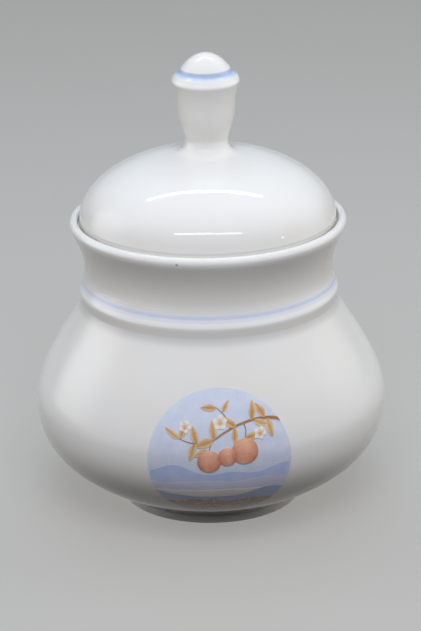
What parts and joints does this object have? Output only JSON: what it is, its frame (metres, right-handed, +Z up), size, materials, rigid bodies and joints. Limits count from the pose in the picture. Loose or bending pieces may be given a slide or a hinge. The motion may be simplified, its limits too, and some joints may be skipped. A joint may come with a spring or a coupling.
{
  "type": "jam pot",
  "caption": "Lidded porcelain jam pot: bellied body on a foot ring, ringed neck, domed lift-off lid with a tall knob, blue lines and a round picture on the front.",
  "frame": {"origin": "centre of the standing ring, on the table", "axes": "+Z up along the pot's axis, -Y towards the front, where the round picture is"},
  "size_m": [0.096, 0.0961, 0.1253],
  "materials": {
    "porcelain": "clear glossy glaze over white porcelain",
    "blue_line": "soft-edged blue line melted into the glaze",
    "picture": "fired-on colour transfer, glossy"
  },
  "bodies": {
    "pot": {"pot": "porcelain", "neck_band": "blue_line", "medallion": "picture"},
    "lid": {"lid": "porcelain", "knob": "porcelain", "knob_band": "blue_line"}
  },
  "joints": [
    {"name": "lid_lift", "type": "slide", "parent": "pot", "child": "lid", "axis": [0, 0, 1], "range_m": [0, 0.06]}
  ]
}
